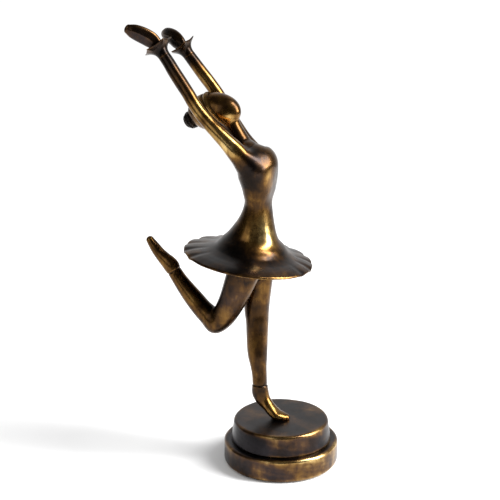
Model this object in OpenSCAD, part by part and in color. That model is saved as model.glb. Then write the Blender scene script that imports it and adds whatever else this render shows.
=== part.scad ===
// Bronze statuette of a dancer on a round, two-step base.
// Frame: millimetres, +Z up, +X the way the dancer faces, +Y to the dancer's left.
// The origin is the centre of the face that the base stands on.

/* [Base] */
// Diameter of the lower step
lower_d = 95; // [92:1:98]
// Height of the lower step, with the felt below it left out
lower_h = 19.5; // [18:0.5:21]
// Diameter of the upper step at its top edge
upper_d = 79; // [76:1:81]
// Height of the upper step
upper_h = 18; // [16:1:20]
// How much the upper step's radius grows towards its foot
upper_flare = 2; // [1.5:0.5:3]
// Thickness of the cast walls and decks of both steps
wall = 5; // [4.5:0.5:6]
// Rounding of the steps' upper edges
edge_r = 2.5; // [2:0.25:3]
// How far the felt pad stands out below the bronze rim
pad_proud = 0.5; // [0.3:0.1:0.8]
// Thickness of the felt pad
pad_t = 2; // [1.5:0.5:2.5]

/* [Anchor] */
// Diameter of the rod that holds the figure down
rod_d = 4; // [3.5:0.5:4.5]
// Diameter of the washer
washer_d = 24; // [20:1:28]
// Nut size across its corners
nut_d = 8; // [7:0.5:9]

/* [Tutu] */
// Radius of the tutu's rim
tutu_r = 53; // [51:0.5:55]
// Thickness of the tutu
tutu_t = 2; // [1.8:0.1:2.4]
// Number of folds around the rim
tutu_folds = 18; // [14:1:20]
// Depth of the folds at the rim
fold_depth = 0.6; // [0.4:0.1:1]
// Forward pitch of the tutu
tutu_pitch = 6.3; // [5.5:0.1:7]
// Sideways roll of the tutu
tutu_roll = -5; // [-5.5:0.1:-4.5]

/* [Cuffs] */
// Radius of a cuff at the tips of its points
cuff_r = 12.3; // [11:0.1:13]
// Number of points around a cuff
cuff_points = 5; // [5:1:6]

/* [Pins] */
// Diameter of the rod through the waist
waist_d = 8; // [6:0.5:9]
// Diameter of the locating pins in the shoulders, neck and hips
pin_d = 4; // [3:0.5:4.5]
// Diameter of the locating pins in the wrists
small_pin_d = 2.5; // [2:0.25:3]

/* [Hidden] */

BRONZE = "#6a4a2c";
DARK = "#3a2c22";
STEEL = "#9a9a98";
FELT = "#1f2a22";
BIG = 300;
$fn = 72;

deck_z = pad_proud + lower_h;
base_h = deck_z + upper_h;

// ---- Curves and sweeps ------------------------------------------------------------------

function unit(v) = v / norm(v);
function xyz(q) = [q[0], q[1], q[2]];
function lift(list) = [for (q = list) [q[0], q[1], q[2] + base_h, q[3], q[4]]];
function reversed(list) = [for (i = [len(list) - 1:-1:0]) list[i]];

// Catmull-Rom value between b and c, with their neighbours a and d.
function spline(a, b, c, d, t) =
    0.5 * (2 * b + (c - a) * t + (2 * a - 5 * b + 4 * c - d) * t * t
        + (3 * b - a - 3 * c + d) * t * t * t);

// The station at place s along a list, with every column on a smooth curve.
function station(list, s) =
    let (last = len(list) - 1, i = min(floor(s), last - 1))
    spline(list[max(i - 1, 0)], list[i], list[i + 1], list[min(i + 2, last)], s - i);

// Direction of the axis at place s.
function heading(list, s) =
    let (last = len(list) - 1, e = 0.05)
    unit(xyz(station(list, min(s + e, last))) - xyz(station(list, max(s - e, 0))));

// An elliptical ring about a station [x, y, z, half depth, half width], moved along the
// axis by shift and scaled by size. The width lies across the body.
function ring(q, t, sides, shift = 0, size = 1) =
    let (w = unit([0, 1, 0] - t * t.y), d = cross(w, t), c = xyz(q) + t * shift)
    [for (k = [0:sides - 1])
        c + d * (q[3] * size * cos(360 * k / sides)) + w * (q[4] * size * sin(360 * k / sides))];

// The rings of a rounded end, from its pole to the first full ring.
function dome(q, t, sides, way, steps = 4) =
    [for (k = [0:steps - 1])
        let (a = 90 * (k + 0.35) / (steps + 0.35), r = min(q[3], q[4]))
        ring(q, t, sides, way * r * cos(a), sin(a))];

// A closed body through a list of rings with the same number of points.
module skin(rings) {
    sides = len(rings[0]);
    last = len(rings) - 1;
    points = [for (r = rings) each r];
    walls = [for (i = [0:last - 1], k = [0:sides - 1])
        let (a = i * sides + k, b = i * sides + (k + 1) % sides)
        each [[a, a + sides, b], [b, a + sides, b + sides]]];
    start_cap = [for (k = [0:sides - 1]) k];
    end_cap = [for (k = [sides - 1:-1:0]) last * sides + k];
    polyhedron(points, concat(walls, [start_cap, end_cap]), convexity = 8);
}

// A limb through its stations, with a rounded or a flat end at each side.
module limb(list, sides = 20, per = 2, round_start = false, round_end = false) {
    last = len(list) - 1;
    body = [for (i = [0:last * per]) ring(station(list, i / per), heading(list, i / per), sides)];
    head_rings = round_start ? dome(list[0], heading(list, 0), sides, -1) : [];
    tail_rings = round_end ? reversed(dome(list[last], heading(list, last), sides, 1)) : [];
    skin(concat(head_rings, body, tail_rings));
}

// Moves its children to p with +Z turned to the direction v.
module facing(p, v) {
    translate(p) rotate([0, acos(v.z / norm(v)), atan2(v.y, v.x)]) children();
}

// The half of space that lies on the side of p that v points to.
module beyond(p, v) facing(p, v) translate([-BIG / 2, -BIG / 2, 0]) cube(BIG);

module pin(p, v, d, length) facing(p, v) cylinder(d = d, h = length, center = true);

// The pin at the flat first station of a limb.
module root_pin(list, d, length) pin(xyz(list[0]), heading(list, 0), d, length);

// ---- Stations of the figure: [x, y, z above the base, half depth, half width] ---------------

spine = lift([[-26.4, -1, 148, 25, 25], [-25.4, -1, 154, 22.2, 21.6], [-24.3, -1, 160, 18.9, 18.5],
    [-23, -1, 167, 15.6, 16.5], [-21.8, -1, 175, 12.8, 15], [-20.9, -1, 184, 10.8, 14],
    [-20.2, -1, 194, 10.6, 14.2], [-20.2, -1, 203, 12.6, 15.5], [-21, -1, 211, 15, 17.5],
    [-22.4, -1, 217.5, 16.8, 18.5], [-25.4, -2.6, 221.8, 14.2, 15.6], [-30.5, -3, 226.5, 10.5, 12.5]]);
neck_axis = lift([[-28, -0.5, 221, 7.5, 7.5], [-34.5, 0, 231, 7.5, 7.8], [-41, 0, 241, 7, 7.2],
    [-47.5, 0, 250, 8, 8], [-54, 0, 257, 8, 8]]);
skull = lift([[-74, 0, 253, 9.5, 9], [-69, 0, 255, 13.2, 11.4], [-63, 0, 257, 15, 12.4],
    [-57, 0, 258.2, 14.4, 12.2], [-51, 0, 257.8, 12, 10.8], [-46.2, 0, 256, 9.2, 9]]);
hair = lift([[-74, 0, 253, 10.8, 10], [-69, 0, 255, 14.8, 12.4], [-63, 0, 257, 16, 13.4],
    [-57, 0, 258.2, 15.4, 13.2], [-51, 0, 258, 13, 11.8]]);
right_arm_axis = lift([[-22, -15, 217, 9, 6.5], [-26, -17.6, 223.6, 9, 7.2],
    [-31.5, -20, 231.5, 8, 7.2], [-38.2, -21.5, 238.6, 6.8, 6.5], [-46, -22.5, 245.9, 6, 5.9],
    [-53.2, -22.5, 252.2, 5.7, 5.6], [-60.8, -22.2, 259.4, 5.5, 5.4], [-67.5, -21.4, 267, 5.3, 5.3],
    [-73.3, -20.6, 274.7, 5.2, 5.2], [-79.8, -19.7, 282.5, 5.3, 5.2], [-86.3, -18.8, 290.4, 5.2, 5.1],
    [-91, -18, 296.5, 5, 5], [-95.1, -17.5, 301.4, 4.9, 4.9]]);
left_arm_axis = lift([[-22, 13, 215, 9, 6], [-28, 13.8, 218.8, 8.6, 6.6], [-35.3, 15.2, 224.6, 7.6, 6.8],
    [-42.8, 16.7, 231.8, 6.8, 6.5], [-49.3, 18, 240, 6.1, 6], [-55.6, 19, 248.2, 5.7, 5.6],
    [-61, 19.4, 257, 5.5, 5.4], [-66.5, 19.5, 265.2, 5.4, 5.3], [-72, 19.2, 272.4, 5.3, 5.2],
    [-77.8, 18.8, 279.2, 5.3, 5.2], [-83.2, 18.4, 285.6, 5.1, 5.1], [-87.3, 18, 290.7, 5, 5],
    [-91.2, 17.5, 295.6, 4.9, 4.9]]);
right_hand_axis = lift([[-99.6, -17.4, 307.4, 3.6, 3.4], [-102.5, -18.3, 311, 5.8, 3.8],
    [-106, -19.7, 314.2, 7, 3.9], [-110.3, -22.2, 317.3, 7.1, 3.9], [-115, -25, 320, 6.7, 3.7],
    [-118.6, -27.3, 321.9, 5.8, 3.2], [-121.6, -29.2, 323.5, 4, 2.4]]);
left_hand_axis = lift([[-96.6, 17.4, 301.4, 3.6, 3.4], [-99.6, 18.4, 304, 5.6, 3.8],
    [-103.5, 20, 306.2, 6.7, 3.9], [-108, 22.6, 307.8, 6.8, 3.9], [-113, 25.2, 308.5, 6.5, 3.7],
    [-117, 27.4, 308.6, 5.6, 3.2], [-120, 29, 308.3, 3.8, 2.4]]);
left_leg_axis = lift([[-25, 10, 126, 12.8, 10.6], [-25.6, 9.4, 112, 11.7, 10.8],
    [-26, 8.2, 100, 11, 10.8], [-25.7, 6.8, 89, 10.3, 10.2], [-24.6, 5.4, 81, 9.6, 9.5],
    [-23.8, 3.6, 71, 9.1, 9], [-22.6, 1.2, 59, 8.7, 8.6], [-21.3, -0.6, 51, 8, 7.9],
    [-19.8, -2, 43, 6.8, 6.7], [-18.6, -3, 36, 6.3, 6.2], [-17.8, -4, 28.5, 6.2, 6.2]]);
foot_axis = lift([[-17.8, -4, 28.5, 6.2, 6.2], [-17.2, -4, 21, 7, 5.8], [-14.6, -4, 15.4, 6, 5.4],
    [-10.4, -4, 10.8, 4.6, 5.2], [-6.4, -4, 6.8, 4.2, 5.8], [-2.4, -4, 4, 3.8, 6.6],
    [1.6, -3, 2.8, 3.2, 5.6], [5.4, -1.2, 1.8, 2.4, 3.4]]);
thigh_axis = lift([[-29, -12.5, 128, 13.4, 11], [-33.4, -12.5, 115.6, 12.6, 11],
    [-38.8, -12.5, 102.5, 11.2, 10.6], [-44.4, -12.7, 91.5, 10.3, 10.1],
    [-49.2, -13, 85, 9.8, 9.7], [-54, -13, 81.7, 9.4, 9.4]]);
shin_axis = lift([[-54, -13, 81.7, 9.4, 9.4], [-60, -13.2, 86.2, 8.8, 8.8],
    [-66.5, -13.5, 91.8, 8.2, 8.2], [-73.3, -13.7, 98.9, 7.8, 7.8], [-80, -13.9, 106.3, 7, 7],
    [-86.4, -14.1, 114.1, 6.1, 6.2], [-91.3, -14.3, 121, 5.9, 5.7]]);
tiptoe_axis = lift([[-91.3, -14.3, 121, 5.9, 5.7], [-93.6, -14.5, 124.7, 6.5, 5.6],
    [-96.2, -14.6, 127.4, 6.2, 5.4], [-100, -14.8, 130.6, 5.3, 5], [-104.5, -15, 134.9, 4.5, 4.5],
    [-108.7, -15.3, 140, 3.9, 4], [-112.6, -15.5, 145.2, 2.9, 3.2]]);

// The two joints at the slippers' edges, and the direction in which each leg leaves its slipper.
left_ankle = xyz(foot_axis[0]);
left_shin_way = [0, 0.05, 1];
right_ankle = xyz(tiptoe_axis[0]);
right_shin_way = [0.55, 0.02, -0.84];
knee = xyz(shin_axis[0]);
rod_at = [-5.5, -3];
tutu_at = [-29.8, -1, 138.4 + base_h];
seat_h = 12;
seat_r = 25;

// ---- Base -----------------------------------------------------------------------------------

// Outline of a rounded corner about c, from angle a to angle b.
function corner(c, r, a, b) = [for (i = [0:6]) c + r * [cos(a + (b - a) * i / 6), sin(a + (b - a) * i / 6)]];

module base_felt_pad() {
    color(FELT) cylinder(r = lower_d / 2 - 4, h = pad_t);
}

module base_lower_step() {
    r = lower_d / 2;
    foot_r = 3;
    profile = concat([[r - 4, pad_proud]], corner([r - foot_r, pad_proud + foot_r], foot_r, -90, 0),
        corner([r - edge_r, deck_z - edge_r], edge_r, 0, 90),
        [[0, deck_z], [0, deck_z - wall], [r - wall - 1.5, deck_z - wall], [r - wall - 1.5, pad_t],
        [r - 4, pad_t]]);
    color(BRONZE) difference() {
        rotate_extrude() polygon(profile);
        anchor_bore(deck_z);
    }
}

module base_upper_step() {
    top = upper_d / 2;
    foot = top + upper_flare;
    profile = concat([[foot, deck_z]], corner([top - edge_r, base_h - edge_r], edge_r, 8, 90),
        [[0, base_h], [0, base_h - wall], [top - wall, base_h - wall], [top - wall, deck_z]]);
    color(BRONZE) difference() {
        rotate_extrude() polygon(profile);
        anchor_bore(base_h);
    }
}

module anchor_bore(z) translate([rod_at.x, rod_at.y, z - 10]) cylinder(d = rod_d, h = 20);

// ---- Anchor ---------------------------------------------------------------------------------

// A plain rod: its thread is left out.
module anchor_rod() {
    color(STEEL) translate([rod_at.x, rod_at.y, 6]) cylinder(d = rod_d, h = base_h + 0.5);
}

module anchor_washer() {
    color(STEEL) translate([rod_at.x, rod_at.y, deck_z - wall - 1.5]) difference() {
        cylinder(d = washer_d, h = 1.5);
        translate([0, 0, -1]) cylinder(d = rod_d, h = 4);
    }
}

module anchor_nut() {
    color(STEEL) translate([rod_at.x, rod_at.y, deck_z - wall - 5]) difference() {
        cylinder(d = nut_d, h = 3.5, $fn = 6);
        translate([0, 0, -1]) cylinder(d = rod_d, h = 6);
    }
}

// ---- Legs -----------------------------------------------------------------------------------

// A list without its first station.
function rest(list) = [for (i = [1:len(list) - 1]) list[i]];

module left_leg_and_foot() {
    limb(concat(left_leg_axis, rest(foot_axis)), 24, round_end = true);
}

module left_slipper() {
    color(BRONZE) difference() {
        left_leg_and_foot();
        beyond(left_ankle, left_shin_way);
        beyond([0, 0, base_h], [0, 0, -1]);
        anchor_rod();
    }
}

module left_leg() {
    color(BRONZE) difference() {
        left_leg_and_foot();
        beyond(left_ankle, -left_shin_way);
        left_hip_pin();
    }
}

module left_hip_pin() color(STEEL) root_pin(left_leg_axis, pin_d, 16);

module right_thigh() {
    color(BRONZE) difference() {
        limb(thigh_axis, 24, round_end = true);
        beyond(knee, [-1, 0, 0.05]);
        right_hip_pin();
    }
}

module right_hip_pin() color(STEEL) root_pin(thigh_axis, pin_d, 16);

module right_shin_and_foot() {
    limb(concat(shin_axis, rest(tiptoe_axis)), 24, round_start = true, round_end = true);
}

module right_shin() {
    color(BRONZE) difference() {
        right_shin_and_foot();
        beyond(knee, [1, 0, -0.05]);
        beyond(right_ankle, -right_shin_way);
    }
}

module right_slipper() {
    color(BRONZE) difference() {
        right_shin_and_foot();
        beyond(right_ankle, right_shin_way);
    }
}

module pelvis() {
    trunk = lift([[-28, -1, 121, 15.5, 19], [-28, -1, 129, 17, 20.5], [-28, -1, 146, 17, 20]]);
    color(DARK) difference() {
        limb(trunk, 28, round_start = true);
        tutu_frame() translate([-BIG / 2, -BIG / 2, seat_h - 5]) cube(BIG);
        left_leg_and_foot();
        limb(thigh_axis, 24, round_end = true);
        left_hip_pin();
        right_hip_pin();
        waist_rod();
    }
}

// ---- Tutu -----------------------------------------------------------------------------------

module tutu_frame() translate(tutu_at) rotate([tutu_roll, tutu_pitch, 0]) children();

// Height of the tutu's upper side at radius r and angle a.
function tutu_height(r, a) =
    let (u = max(0, (r - 32) / (tutu_r - 32)),
        slope = [[seat_r, seat_h], [28, 9.2], [32, 6.6], [37, 4.8], [42, 3.5], [47, 2.2], [tutu_r, 0]],
        rise = lookup(r, slope))
    rise + fold_depth * u * u * cos(tutu_folds * a + 25 * sin(3 * a));

// One ring of the tutu, at its upper side or moved down by drop. The seat for the hips lies
// forward of the rim's centre.
function tutu_ring(r, drop) =
    [for (k = [0:89])
        let (a = 4 * k, forward = 3.3 * (tutu_r - r) / (tutu_r - seat_r))
        [r * cos(a) + forward, r * sin(a), tutu_height(r, a) - drop]];

module tutu() {
    radii = [seat_r, 28, 32, 36, 40, 44, 47, 50, tutu_r];
    under = [for (r = radii) tutu_ring(r - (r == tutu_r ? 0 : 0.3), r == seat_r ? 5 : tutu_t)];
    upper = [for (r = reversed(radii)) tutu_ring(r, 0)];
    color(DARK) difference() {
        tutu_frame() skin(concat(under, upper));
        waist_rod();
    }
}

module waist_rod() {
    color(STEEL) translate([-25, -1, base_h + 132]) cylinder(d = waist_d, h = 40);
}

// ---- Torso ----------------------------------------------------------------------------------

module torso() {
    color(BRONZE) difference() {
        limb(spine, 30, round_end = true);
        tutu_frame() translate([-BIG / 2, -BIG / 2, seat_h - BIG]) cube(BIG);
        limb(neck_axis, 24);
        limb(right_arm_axis, 20);
        limb(left_arm_axis, 20);
        neck_pin();
        right_shoulder_pin();
        left_shoulder_pin();
        waist_rod();
    }
}

module neck_pin() color(STEEL) root_pin(neck_axis, pin_d, 14);
module right_shoulder_pin() color(STEEL) root_pin(right_arm_axis, pin_d, 12);
module left_shoulder_pin() color(STEEL) root_pin(left_arm_axis, pin_d, 12);

// ---- Head -----------------------------------------------------------------------------------

module head() {
    color(BRONZE) difference() {
        union() {
            limb(neck_axis, 24);
            limb(skull, 24, round_start = true, round_end = true);
            difference() {
                limb(hair, 24, round_start = true);
                beyond([-63, 0, 258 + base_h], [1, 0, 0.6]);
            }
        }
        neck_pin();
    }
}

// A coil of four turns that shrink away from the head.
module hair_bun() {
    turns = [7, 7.8, 7, 5];
    rope = 2.3;
    color(DARK) difference() {
        facing([-77.6, 0, 249.6 + base_h], [-0.82, 0, -0.57]) rotate_extrude() intersection() {
            union() {
                for (i = [0:3]) translate([turns[i] - rope, 3 * i - 2]) circle(r = rope, $fn = 24);
                translate([0, -4]) square([4, 12.5]);
            }
            translate([0, -4]) square([10, 16]);
        }
        limb(hair, 24, round_start = true);
    }
}

// ---- Arms -----------------------------------------------------------------------------------

function tip(list) = xyz(list[len(list) - 1]);
function tip_heading(list) = heading(list, len(list) - 1);

// The cuff's outline: [height, radius, how much of the points is in it].
cuff_profile = [[0, 4.9, 0], [2.5, 5.2, 0], [5, 6, 0], [7.5, 7.6, 0.2], [9.4, 9.2, 1],
    [10.6, 9.4, 1], [9.6, 7.4, 0.2], [8.8, 5, 0], [8.6, 3.8, 0]];

function cuff_ring(q) =
    [for (k = [0:39])
        let (a = 360 * k / 40, u = abs((k * cuff_points / 40) % 1 - 0.5) * 2,
            r = q[1] + q[2] * (cuff_r - 9.4) * pow(u, 2.5))
        [r * cos(a), r * sin(a), q[0] + q[2] * 1.4 * pow(u, 3)]];

module cuff(arm, spin) {
    facing(tip(arm), tip_heading(arm)) rotate([0, 0, spin]) skin([for (q = cuff_profile) cuff_ring(q)]);
}

module right_arm() {
    color(BRONZE) difference() {
        limb(right_arm_axis, 20);
        right_shoulder_pin();
        right_wrist_pin();
    }
}

module left_arm() {
    color(BRONZE) difference() {
        limb(left_arm_axis, 20);
        left_shoulder_pin();
        left_wrist_pin();
    }
}

module right_wrist_pin() color(STEEL) pin(tip(right_arm_axis), tip_heading(right_arm_axis), small_pin_d, 8);
module left_wrist_pin() color(STEEL) pin(tip(left_arm_axis), tip_heading(left_arm_axis), small_pin_d, 8);

module right_cuff() {
    color(BRONZE) difference() {
        cuff(right_arm_axis, 20);
        limb(right_hand_axis, 20, round_start = true, round_end = true);
        right_wrist_pin();
    }
}

module left_cuff() {
    color(BRONZE) difference() {
        cuff(left_arm_axis, -10);
        limb(left_hand_axis, 20, round_start = true, round_end = true);
        left_wrist_pin();
    }
}

module right_hand() color(BRONZE) limb(right_hand_axis, 20, round_start = true, round_end = true);
module left_hand() color(BRONZE) limb(left_hand_axis, 20, round_start = true, round_end = true);

base_felt_pad();
base_lower_step();
base_upper_step();
anchor_rod();
anchor_washer();
anchor_nut();
left_slipper();
left_leg();
pelvis();
right_thigh();
right_shin();
right_slipper();
tutu();
torso();
head();
hair_bun();
right_arm();
left_arm();
right_cuff();
left_cuff();
right_hand();
left_hand();
waist_rod();
neck_pin();
right_shoulder_pin();
left_shoulder_pin();
right_hip_pin();
left_hip_pin();
right_wrist_pin();
left_wrist_pin();
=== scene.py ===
# Looks of the bronze dancer statuette. Lengths in the tables are millimetres; the meshes are in metres.
import math

import bmesh
import bpy
import numpy as np
from mathutils import Matrix, Vector


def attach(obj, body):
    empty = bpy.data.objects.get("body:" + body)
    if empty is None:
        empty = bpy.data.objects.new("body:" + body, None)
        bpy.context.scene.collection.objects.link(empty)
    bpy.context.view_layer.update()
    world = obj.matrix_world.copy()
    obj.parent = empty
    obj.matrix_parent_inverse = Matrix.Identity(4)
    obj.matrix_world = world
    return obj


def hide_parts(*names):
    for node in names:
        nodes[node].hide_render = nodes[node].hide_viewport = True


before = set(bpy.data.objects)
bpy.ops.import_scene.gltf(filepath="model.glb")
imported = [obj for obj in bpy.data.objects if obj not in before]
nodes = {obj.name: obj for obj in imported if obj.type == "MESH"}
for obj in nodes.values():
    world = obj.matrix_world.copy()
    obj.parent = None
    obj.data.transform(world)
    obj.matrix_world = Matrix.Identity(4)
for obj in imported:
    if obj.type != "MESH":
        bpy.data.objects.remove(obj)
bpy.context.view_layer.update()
scene = bpy.context.scene

MM = 0.001
FAR = 30.0                # field value far from a limb
VOXEL = 0.7               # grid pitch of the body meshes
HAND_VOXEL = 0.5          # grid pitch of the hands
LIMB_STEPS = 8            # steps between two stations of a limb
BASE_H = 38.0             # height of the base's top
DECK_Z = 20.0             # height of the lower step's top


# ---- Numbers and curves ----------------------------------------------------------------------

def unit(v):
    v = np.asarray(v, float)
    return v / np.linalg.norm(v, axis=-1, keepdims=True)


def catmull(points, per):
    """A smooth run through a list of rows, with per steps between neighbours."""
    p = np.array(points, float)
    last = len(p) - 1
    rows = []
    for i in range(last):
        a, b, c, d = p[max(i - 1, 0)], p[i], p[i + 1], p[min(i + 2, last)]
        for j in range(per):
            t = j / per
            rows.append(0.5 * (2 * b + (c - a) * t + (2 * a - 5 * b + 4 * c - d) * t * t
                               + (3 * b - a - 3 * c + d) * t ** 3))
    rows.append(p[-1])
    return np.array(rows)


def smin(a, b, k):
    """The lesser of two fields, with a fillet of about k where they meet."""
    h = np.clip(0.5 + 0.5 * (b - a) / k, 0, 1)
    return b + (a - b) * h - k * h * (1 - h)


def smooth(x, lo, hi):
    t = np.clip((x - lo) / (hi - lo), 0, 1)
    return t * t * (3 - 2 * t)


class Limb:
    """A swept body with an elliptical section, as a distance field."""

    def __init__(self, stations, start="round", end="round"):
        s = catmull(stations, LIMB_STEPS)
        s[:, 2] += BASE_H
        self.c, self.a, self.b = s[:, :3], s[:, 3], s[:, 4]
        self.t = unit(np.gradient(self.c, axis=0))
        self.w = unit(np.array([0, 1.0, 0]) - self.t * self.t[:, 1:2])
        self.d = np.cross(self.w, self.t)
        self.ends = (start, end)
        reach = max(self.a.max(), self.b.max()) + 11
        self.lo, self.hi = self.c.min(0) - reach, self.c.max(0) + reach

    def place(self, q):
        """For each point: its place along the axis, and how far it lies before or after the ends."""
        last = len(self.c) - 1
        i = np.empty(len(q), int)
        c2 = (self.c ** 2).sum(1)
        for s in range(0, len(q), 60000):
            i[s:s + 60000] = np.argmin(c2 - 2 * q[s:s + 60000] @ self.c.T, axis=1)
        along = ((q - self.c[i]) * self.t[i]).sum(1)
        way = np.where(along >= 0, 1, -1)
        j = np.clip(i + way, 0, last)
        beyond = ((q - self.c[j]) * self.t[j]).sum(1)
        share = np.clip(along / np.where(np.abs(along - beyond) < 1e-9, 1, along - beyond), 0, 1)
        u = i + way * np.where(j == i, 0, share)
        over = np.where(i == 0, np.maximum(-along, 0), np.where(i == last, np.maximum(along, 0), 0))
        return u, over, i == 0

    def local(self, q):
        """Offsets of points from the axis: across the depth and the width, with the half sizes."""
        u, over, at_start = self.place(q)
        i = np.minimum(np.floor(u).astype(int), len(self.c) - 2)
        f = u - i

        def mix(v):
            share = f if v.ndim == 1 else f[:, None]
            return v[i] * (1 - share) + v[i + 1] * share

        r = q - mix(self.c)
        du = (r * unit(mix(self.d))).sum(1)
        dv = (r * unit(mix(self.w))).sum(1)
        return u, over, at_start, du, dv, mix(self.a), mix(self.b)

    def field(self, p):
        out = np.full(len(p), FAR)
        near = np.all((p > self.lo) & (p < self.hi), axis=1)
        if not near.any():
            return out
        q = p[near]
        u, over, at_start, du, dv, a, b = self.local(q)
        m = np.minimum(a, b)
        dome = np.where(at_start, self.ends[0] == "round", self.ends[1] == "round")
        z = np.where(dome, over, 0) / m
        k = np.sqrt((du / a) ** 2 + (dv / b) ** 2 + z ** 2)
        g = np.sqrt((du / a ** 2) ** 2 + (dv / b ** 2) ** 2 + (z / m) ** 2)
        dist = np.where(k > 0.02, k * (k - 1) / np.maximum(g, 1e-9), -m)
        flat = np.where(at_start, self.ends[0] == "flat", self.ends[1] == "flat")
        dist = np.where(flat & (over > 0), np.maximum(dist, over), dist)
        out[near] = np.minimum(dist, FAR)
        return out


# ---- Stations of the figure: x, y, z above the base, half depth, half width ------------------

SPINE = Limb([
    [-26.4, -1, 148, 25, 25], [-25.4, -1, 154, 22.2, 21.6], [-24.3, -1, 160, 18.9, 18.5],
    [-23, -1, 167, 15.6, 16.5], [-21.8, -1, 175, 12.8, 15], [-20.9, -1, 184, 10.8, 14],
    [-20.2, -1, 194, 10.6, 14.2], [-20.2, -1, 203, 12.6, 15.5], [-21, -1, 211, 15, 17.5],
    [-22.4, -1, 217.5, 16.8, 18.5], [-25.4, -2.6, 221.8, 14.2, 15.6],
    [-30.5, -3, 226.5, 10.5, 12.5]], start="open")
NECK = Limb([
    [-28, -0.5, 221, 7.5, 7.5], [-34.5, 0, 231, 7.5, 7.8], [-41, 0, 241, 7, 7.2],
    [-47.5, 0, 250, 7.4, 7.2], [-52, 0, 255, 6, 6]])
SKULL_AT = np.array([-60, 0, 256.6 + BASE_H])
SKULL_SIZE = (22.8, 12.4, 15.4)
SKULL_TILT = 0.12
RIGHT_ARM = Limb([
    [-20, -8.5, 198, 8, 6], [-20.6, -12, 208, 9, 6.6], [-22, -15, 217, 9, 6.8],
    [-26, -17.6, 223.6, 8.6, 7], [-31.5, -20, 231.5, 8, 7.2],
    [-38.2, -21.5, 238.6, 6.8, 6.5], [-46, -22.5, 245.9, 6, 5.9], [-53.2, -22.5, 252.2, 5.7, 5.6],
    [-60.8, -22.2, 259.4, 5.5, 5.4], [-67.5, -21.4, 267, 5.3, 5.3],
    [-73.3, -20.6, 274.7, 5.2, 5.2], [-79.8, -19.7, 282.5, 5.3, 5.2],
    [-86.3, -18.8, 290.4, 5.2, 5.1], [-91, -18, 296.5, 5, 5], [-95.1, -17.5, 301.4, 4.9, 4.9]],
    end="flat")
LEFT_ARM = Limb([
    [-20, 7, 197, 8, 6], [-20.6, 10.5, 207, 9, 6.4], [-23, 13, 214.5, 9, 6.6],
    [-28, 13.8, 218.8, 8.6, 6.8], [-35.3, 15.2, 224.6, 7.6, 6.8],
    [-42.8, 16.7, 231.8, 6.8, 6.5], [-49.3, 18, 240, 6.1, 6], [-55.6, 19, 248.2, 5.7, 5.6],
    [-61, 19.4, 257, 5.5, 5.4], [-66.5, 19.5, 265.2, 5.4, 5.3], [-72, 19.2, 272.4, 5.3, 5.2],
    [-77.8, 18.8, 279.2, 5.3, 5.2], [-83.2, 18.4, 285.6, 5.1, 5.1], [-87.3, 18, 290.7, 5, 5],
    [-91.2, 17.5, 295.6, 4.9, 4.9]], end="flat")
RIGHT_HAND = Limb([
    [-99.6, -17.4, 307.4, 3.6, 3.4], [-102.5, -18.3, 311, 5.8, 3.8], [-106, -19.7, 314.2, 7, 3.9],
    [-110.3, -22.2, 317.3, 7.1, 3.9], [-115, -25, 320, 6.7, 3.7],
    [-118.6, -27.3, 321.9, 5.8, 3.2], [-121.6, -29.2, 323.5, 4, 2.4]])
LEFT_HAND = Limb([
    [-96.6, 17.4, 301.4, 3.6, 3.4], [-99.6, 18.4, 304, 5.6, 3.8], [-103.5, 20, 306.2, 6.7, 3.9],
    [-108, 22.6, 307.8, 6.8, 3.9], [-113, 25.2, 308.5, 6.5, 3.7], [-117, 27.4, 308.6, 5.6, 3.2],
    [-120, 29, 308.3, 3.8, 2.4]])
TRUNK = Limb([
    [-28, -1, 133, 15, 18], [-28, -1, 138, 16.5, 19.5], [-28, -1, 146, 17, 20]], end="open")
LEFT_LEG = Limb([
    [-25, 10, 126, 12.8, 10.6], [-25.6, 9.4, 112, 11.7, 10.8], [-26, 8.2, 100, 11, 10.8],
    [-25.7, 6.8, 89, 10.3, 10.2], [-24.6, 5.4, 81, 9.6, 9.5], [-23.8, 3.6, 71, 9.1, 9],
    [-22.6, 1.2, 59, 8.7, 8.6], [-21.3, -0.6, 51, 8, 7.9], [-19.8, -2, 43, 6.8, 6.7],
    [-18.6, -3, 36, 6.3, 6.2], [-17.8, -4, 28.5, 6.2, 6.2], [-17.2, -4, 21, 7, 5.8],
    [-14.6, -4, 15.4, 6, 5.4], [-10.4, -4, 10.8, 4.6, 5.2], [-6.4, -4, 6.8, 4.2, 5.8],
    [-2.4, -4, 4, 3.8, 6.6], [1.6, -3, 2.8, 3.2, 5.6], [5.4, -1.2, 1.8, 2.4, 3.4]])
THIGH = Limb([
    [-29, -12.5, 128, 13.4, 11], [-33.4, -12.5, 115.6, 12.6, 11], [-38.8, -12.5, 102.5, 11.2, 10.6],
    [-44.4, -12.7, 91.5, 10.3, 10.1], [-49.2, -13, 85, 9.8, 9.7], [-54, -13, 81.7, 9.4, 9.4]])
SHIN = Limb([
    [-54, -13, 81.7, 9.4, 9.4], [-60, -13.2, 86.2, 8.8, 8.8], [-66.5, -13.5, 91.8, 8.2, 8.2],
    [-73.3, -13.7, 98.9, 7.8, 7.8], [-80, -13.9, 106.3, 7, 7], [-86.4, -14.1, 114.1, 6.1, 6.2],
    [-91.3, -14.3, 121, 5.9, 5.7], [-93.6, -14.5, 124.7, 6.5, 5.6],
    [-96.2, -14.6, 127.4, 6.2, 5.4], [-100, -14.8, 130.6, 5.3, 5], [-104.5, -15, 134.9, 4.5, 4.5],
    [-108.7, -15.3, 140, 3.9, 4], [-112.6, -15.5, 145.2, 2.9, 3.2]])

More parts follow.
